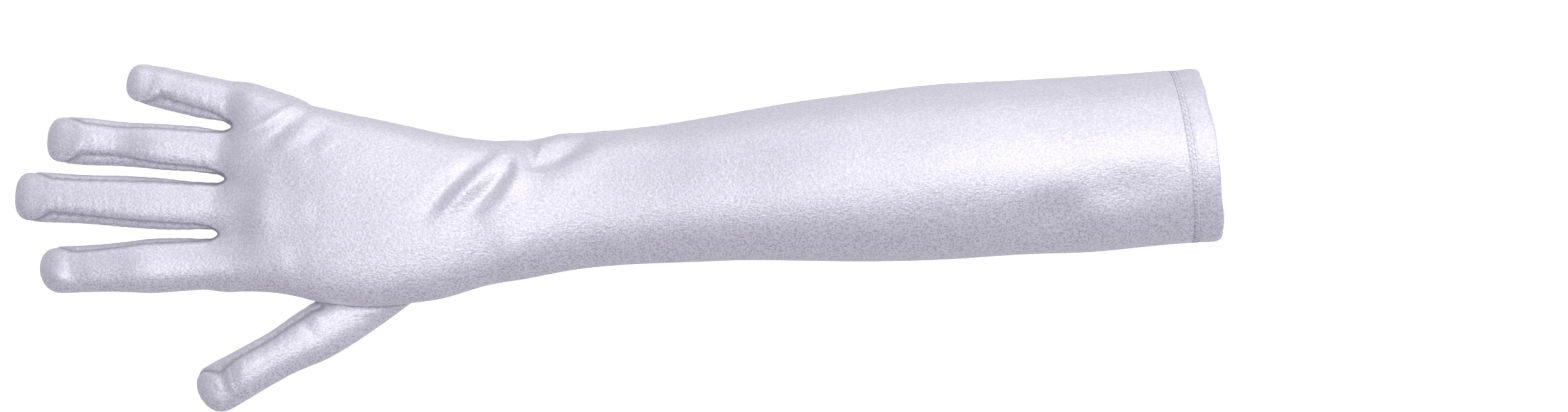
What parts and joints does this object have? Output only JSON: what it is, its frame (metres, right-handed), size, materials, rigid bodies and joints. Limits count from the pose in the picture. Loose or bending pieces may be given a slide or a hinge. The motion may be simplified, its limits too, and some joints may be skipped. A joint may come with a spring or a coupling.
{
  "type": "opera glove",
  "caption": "Long satin glove for the right hand: a closed sleeve with a stitched hem, four jointed fingers with side strips and a set-in thumb.",
  "frame": {"origin": "middle of the footprint, on the surface the glove lies on, palm down", "axes": "+X from the fingertips to the cuff, +Y to the little finger side, +Z out of the back of the hand"},
  "size_m": [0.4362, 0.1262, 0.059],
  "materials": {
    "satin": "satin",
    "satin_side": "satin",
    "satin_thumb": "satin",
    "satin_hem": "satin",
    "thread": "matte"
  },
  "bodies": {
    "sleeve": {"hem_band": "satin_hem", "hem_stitching": "thread", "sleeve_trank": "satin", "sleeve_closing_seam": "thread", "wrist_bend": "satin"},
    "hand": {"hand_trank": "satin", "hand_closing_seam": "thread", "index_middle_web": "satin_side", "middle_ring_web": "satin_side", "ring_little_web": "satin_side", "index_base_bend": "satin", "middle_base_bend": "satin", "ring_base_bend": "satin", "little_base_bend": "satin", "thumb_base_bend": "satin_thumb"},
    "index_lower": {"index_lower_trank": "satin", "index_lower_little_side_fourchette": "satin_side", "index_middle_bend": "satin"},
    "index_tip": {"index_tip_trank": "satin", "index_tip_little_side_fourchette": "satin_side"},
    "middle_lower": {"middle_lower_back": "satin", "middle_lower_palm": "satin", "middle_lower_index_side_fourchette": "satin_side", "middle_lower_little_side_fourchette": "satin_side", "middle_middle_bend": "satin"},
    "middle_tip": {"middle_tip_back": "satin", "middle_tip_palm": "satin", "middle_tip_index_side_fourchette": "satin_side", "middle_tip_little_side_fourchette": "satin_side"},
    "ring_lower": {"ring_lower_back": "satin", "ring_lower_palm": "satin", "ring_lower_index_side_fourchette": "satin_side", "ring_lower_little_side_fourchette": "satin_side", "ring_middle_bend": "satin"},
    "ring_tip": {"ring_tip_back": "satin", "ring_tip_palm": "satin", "ring_tip_index_side_fourchette": "satin_side", "ring_tip_little_side_fourchette": "satin_side"},
    "little_lower": {"little_lower_back": "satin", "little_lower_palm": "satin", "little_lower_index_side_fourchette": "satin_side", "little_middle_bend": "satin"},
    "little_tip": {"little_tip_back": "satin", "little_tip_palm": "satin", "little_tip_index_side_fourchette": "satin_side"},
    "thumb_lower": {"thumb_lower": "satin_thumb", "thumb_middle_bend": "satin_thumb"},
    "thumb_tip": {"thumb_tip": "satin_thumb"}
  },
  "joints": [
    {"name": "wrist", "type": "hinge", "parent": "sleeve", "child": "hand", "pos_m": [-0.0319, 0.0001, 0.0174], "axis": [0, -1, 0], "range_deg": [-40, 50], "deforming": ["wrist_bend"]},
    {"name": "index_base", "type": "hinge", "parent": "hand", "child": "index_lower", "pos_m": [-0.15355, -0.01046, 0.00774], "axis": [-0.0174, -0.9998, 0], "range_deg": [-10, 65], "deforming": ["index_base_bend"]},
    {"name": "index_middle", "type": "hinge", "parent": "index_lower", "child": "index_tip", "pos_m": [-0.18255, -0.00995, 0.00716], "axis": [-0.0174, -0.9998, 0], "range_deg": [0, 80], "deforming": ["index_middle_bend"]},
    {"name": "middle_base", "type": "hinge", "parent": "hand", "child": "middle_lower", "pos_m": [-0.14919, 0.01066, 0.00786], "axis": [-0.1323, -0.9912, 0], "range_deg": [-10, 65], "deforming": ["middle_base_bend"]},
    {"name": "middle_middle", "type": "hinge", "parent": "middle_lower", "child": "middle_tip", "pos_m": [-0.17794, 0.01449, 0.00736], "axis": [-0.1323, -0.9912, 0], "range_deg": [0, 80], "deforming": ["middle_middle_bend"]},
    {"name": "ring_base", "type": "hinge", "parent": "hand", "child": "ring_lower", "pos_m": [-0.14503, 0.0303, 0.00755], "axis": [-0.1754, -0.9845, 0], "range_deg": [-10, 65], "deforming": ["ring_base_bend"]},
    {"name": "ring_middle", "type": "hinge", "parent": "ring_lower", "child": "ring_tip", "pos_m": [-0.17358, 0.03539, 0.00701], "axis": [-0.1754, -0.9845, 0], "range_deg": [0, 80], "deforming": ["ring_middle_bend"]},
    {"name": "little_base", "type": "hinge", "parent": "hand", "child": "little_lower", "pos_m": [-0.14008, 0.04868, 0.00661], "axis": [-0.2974, -0.9548, 0], "range_deg": [-10, 65], "deforming": ["little_base_bend"]},
    {"name": "little_middle", "type": "hinge", "parent": "little_lower", "child": "little_tip", "pos_m": [-0.15707, 0.05397, 0.00612], "axis": [-0.2974, -0.9548, 0], "range_deg": [0, 80], "deforming": ["little_middle_bend"]},
    {"name": "thumb_base", "type": "hinge", "parent": "hand", "child": "thumb_lower", "pos_m": [-0.104, -0.036, 0.0085], "axis": [0, 0, 1], "range_deg": [-12, 30], "deforming": ["thumb_base_bend"]},
    {"name": "thumb_middle", "type": "hinge", "parent": "thumb_lower", "child": "thumb_tip", "pos_m": [-0.13173, -0.04867, 0.0083], "axis": [0.4147, -0.91, 0], "range_deg": [0, 50], "deforming": ["thumb_middle_bend"]}
  ]
}
